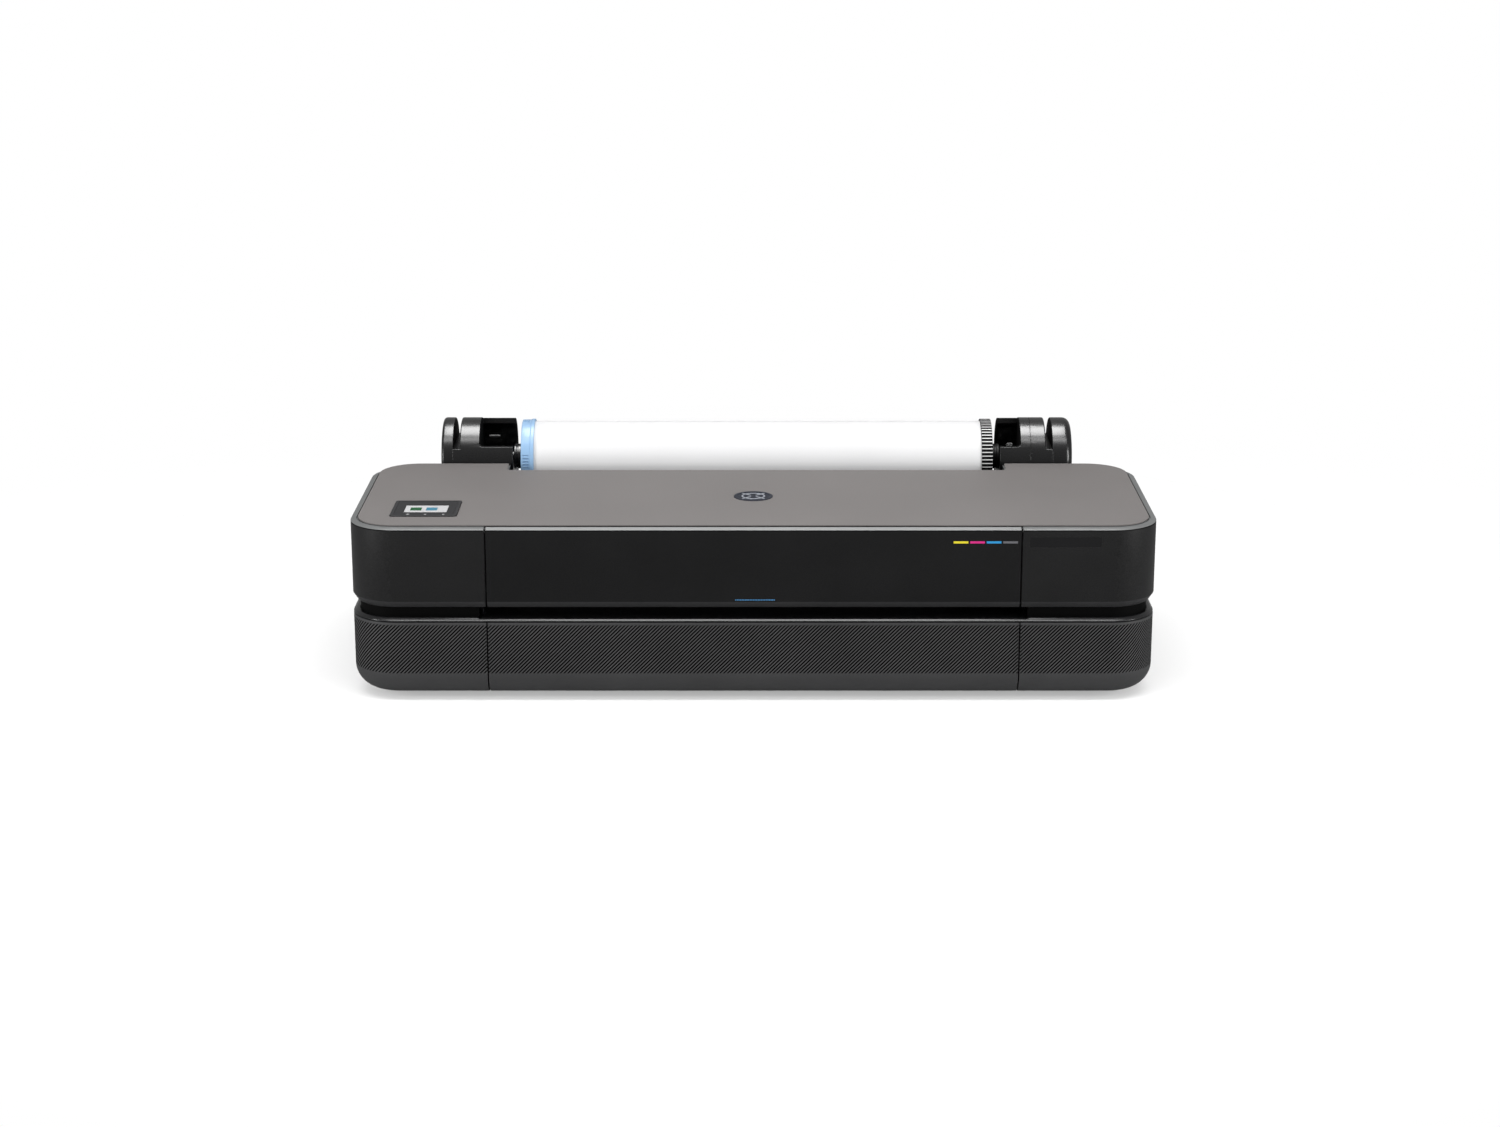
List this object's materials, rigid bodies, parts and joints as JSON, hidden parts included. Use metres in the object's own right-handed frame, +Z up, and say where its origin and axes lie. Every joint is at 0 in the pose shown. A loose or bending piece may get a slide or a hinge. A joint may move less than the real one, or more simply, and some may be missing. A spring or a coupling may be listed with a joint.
{
  "type": "large format plotter",
  "caption": "Wide low desktop inkjet plotter with a grey top plate, hinged front door over the ink bay, ribbed lower body, paper exit slot and a roll of paper on a spindle behind.",
  "frame": {"origin": "centre of the footprint on the plane the feet stand on", "axes": "+X to the right seen from the front, front faces -Y, +Z up"},
  "size_m": [1.013, 0.44, 0.278],
  "materials": {
    "ribbed_shell": "satin ribbed",
    "gloss_black": "gloss",
    "grained_shell": "fine grain",
    "door_shell": "fine grain",
    "plate_grey": "woven fine texture",
    "emblem_finish": "gloss",
    "badge_finish": "matte",
    "bezel_grey": "matte",
    "screen_glass": "polished",
    "screen_white": "lit",
    "foot_rubber": "matte",
    "socket_black": "matte",
    "black_steel": "blackened",
    "sheet_steel": "zinc plated",
    "bright_steel": "ground",
    "moulded_black": "matte",
    "moulded_grey": "matte",
    "motor_case": "satin",
    "belt_rubber": "matte",
    "clear_tube": "satin",
    "drawn_aluminium": "satin",
    "board_green": "satin",
    "strip_blue": "satin",
    "mark_ink": "four ink colours",
    "button_black": "satin",
    "printhead_grey": "satin",
    "brass_gear": "machined",
    "roller_rubber": "matte",
    "gear_nylon": "satin",
    "cap_rubber": "matte",
    "ink_yellow": "satin",
    "ink_magenta": "satin",
    "ink_cyan": "satin",
    "ink_black": "satin",
    "spindle_black": "gloss",
    "flange_blue": "satin",
    "flange_black": "satin ribbed",
    "core_card": "card",
    "paper_white": "coated paper"
  },
  "bodies": {
    "chassis": {"lower_housing": "ribbed_shell", "lower_front_panel": "ribbed_shell", "exit_trim": "gloss_black", "upper_housing": "grained_shell", "top_plate": "plate_grey", "emblem_disc": "emblem_finish", "name_badge": "badge_finish", "control_bezel": "bezel_grey", "screen_glass": "screen_glass", "screen_module": "screen_white", "rear_cover": "grained_shell", "left_roll_support": "gloss_black", "right_roll_support": "gloss_black", "support_caps": "gloss_black", "rubber_feet": "foot_rubber", "rear_connectors": "socket_black", "housing_screws": "black_steel", "chassis_base": "sheet_steel", "side_plates": "sheet_steel", "carriage_rail": "sheet_steel", "slider_rod": "bright_steel", "platen": "moulded_black", "feed_motor": "motor_case", "carriage_motor": "motor_case", "carriage_belt": "belt_rubber", "cartridge_bay": "moulded_black", "ink_tubes": "clear_tube", "service_station": "moulded_grey", "cutter_rail": "drawn_aluminium", "main_board": "board_green", "power_supply": "sheet_steel", "roll_motor": "motor_case"},
    "door": {"front_door": "door_shell", "door_touch_strip": "strip_blue", "ink_colour_marks": "mark_ink"},
    "power_key": {"power_button": "button_black"},
    "print_carriage": {"carriage": "moulded_grey", "printhead": "printhead_grey"},
    "carriage_drive_pulley": {"drive_pulley": "brass_gear"},
    "carriage_idler_pulley": {"idler_pulley": "brass_gear"},
    "feed_shaft": {"feed_roller": "roller_rubber", "feed_gear": "gear_nylon"},
    "feed_motor_shaft": {"feed_pinion": "brass_gear"},
    "pinch_arm_set": {"pinch_arms": "moulded_grey"},
    "pinch_roller_set": {"pinch_rollers": "roller_rubber"},
    "exit_shaft": {"exit_rollers": "roller_rubber"},
    "cap_lift_sled": {"cap_sled": "cap_rubber"},
    "cutter": {"cutter_carriage": "moulded_grey"},
    "cutter_blade": {"cutter_wheel": "bright_steel"},
    "yellow_ink": {"yellow_cartridge": "ink_yellow"},
    "magenta_ink": {"magenta_cartridge": "ink_magenta"},
    "cyan_ink": {"cyan_cartridge": "ink_cyan"},
    "black_ink": {"black_cartridge": "ink_black"},
    "spindle_mount": {"spindle_bushes": "moulded_grey"},
    "spindle": {"spindle_shaft": "spindle_black", "right_flange": "flange_black", "roll_core": "core_card", "paper_roll": "paper_white"},
    "loading_flange": {"left_flange": "flange_blue"},
    "roll_drive": {"roll_drive_gear": "gear_nylon"}
  },
  "joints": [
    {"name": "door_hinge", "type": "hinge", "parent": "chassis", "child": "door", "pos_m": [0, -0.213, 0.2215], "axis": [-1, 0, 0], "range_deg": [0, 80]},
    {"name": "power_press", "type": "slide", "parent": "chassis", "child": "power_key", "axis": [0, 0, -1], "range_m": [0, 0.0012]},
    {"name": "carriage_slide", "type": "slide", "parent": "chassis", "child": "print_carriage", "axis": [1, 0, 0], "range_m": [-0.78, 0]},
    {"name": "drive_pulley_spin", "type": "hinge", "parent": "chassis", "child": "carriage_drive_pulley", "pos_m": [-0.458, 0.008, 0.173], "axis": [0, 0, 1], "continuous": true},
    {"name": "idler_pulley_spin", "type": "hinge", "parent": "chassis", "child": "carriage_idler_pulley", "pos_m": [0.458, 0.008, 0.173], "axis": [0, 0, 1], "continuous": true},
    {"name": "feed_roller_spin", "type": "hinge", "parent": "chassis", "child": "feed_shaft", "pos_m": [0, -0.01, 0.1], "axis": [1, 0, 0], "continuous": true},
    {"name": "feed_pinion_spin", "type": "hinge", "parent": "chassis", "child": "feed_motor_shaft", "pos_m": [-0.456, 0.02248, 0.08125], "axis": [1, 0, 0], "continuous": true},
    {"name": "pinch_arm_lift", "type": "hinge", "parent": "chassis", "child": "pinch_arm_set", "pos_m": [0, 0.025, 0.122], "axis": [-1, 0, 0], "range_deg": [0, 6]},
    {"name": "pinch_roller_spin", "type": "hinge", "parent": "pinch_arm_set", "child": "pinch_roller_set", "pos_m": [0, -0.01, 0.1174], "axis": [1, 0, 0], "continuous": true},
    {"name": "exit_roller_spin", "type": "hinge", "parent": "chassis", "child": "exit_shaft", "pos_m": [0, -0.125, 0.106], "axis": [1, 0, 0], "continuous": true},
    {"name": "cap_lift", "type": "slide", "parent": "chassis", "child": "cap_lift_sled", "axis": [0, 0, 1], "range_m": [0, 0.005]},
    {"name": "cutter_slide", "type": "slide", "parent": "chassis", "child": "cutter", "axis": [1, 0, 0], "range_m": [0, 0.7]},
    {"name": "cutter_wheel_spin", "type": "hinge", "parent": "cutter", "child": "cutter_blade", "pos_m": [-0.35, -0.151, 0.1195], "axis": [0, 1, 0], "continuous": true},
    {"name": "yellow_cartridge_slide", "type": "slide", "parent": "chassis", "child": "yellow_ink", "axis": [0, -1, 0], "range_m": [0, 0.008]},
    {"name": "magenta_cartridge_slide", "type": "slide", "parent": "chassis", "child": "magenta_ink", "axis": [0, -1, 0], "range_m": [0, 0.008]},
    {"name": "cyan_cartridge_slide", "type": "slide", "parent": "chassis", "child": "cyan_ink", "axis": [0, -1, 0], "range_m": [0, 0.008]},
    {"name": "black_cartridge_slide", "type": "slide", "parent": "chassis", "child": "black_ink", "axis": [0, -1, 0], "range_m": [0, 0.008]},
    {"name": "spindle_lift", "type": "slide", "parent": "chassis", "child": "spindle_mount", "axis": [0, 0, 1], "range_m": [0, 0.12]},
    {"name": "spindle_spin", "type": "hinge", "parent": "spindle_mount", "child": "spindle", "pos_m": [0.006, 0.167, 0.225], "axis": [1, 0, 0], "continuous": true},
    {"name": "loading_flange_slide", "type": "slide", "parent": "spindle", "child": "loading_flange", "axis": [-1, 0, 0], "range_m": [0, 0.0045]},
    {"name": "roll_drive_spin", "type": "hinge", "parent": "chassis", "child": "roll_drive", "pos_m": [0.35, 0.167, 0.197], "axis": [1, 0, 0], "continuous": true}
  ],
  "couplings": [
    {"joint": "drive_pulley_spin", "follows": "carriage_slide", "rad_per_m": 112.36},
    {"joint": "idler_pulley_spin", "follows": "carriage_slide", "rad_per_m": 112.36},
    {"joint": "feed_pinion_spin", "follows": "feed_roller_spin", "ratio": -4},
    {"joint": "pinch_roller_spin", "follows": "feed_roller_spin", "ratio": -2.4},
    {"joint": "exit_roller_spin", "follows": "feed_roller_spin", "ratio": 2},
    {"joint": "cutter_wheel_spin", "follows": "cutter_slide", "rad_per_m": 111.11},
    {"joint": "roll_drive_spin", "follows": "spindle_spin", "ratio": -1.5455}
  ]
}
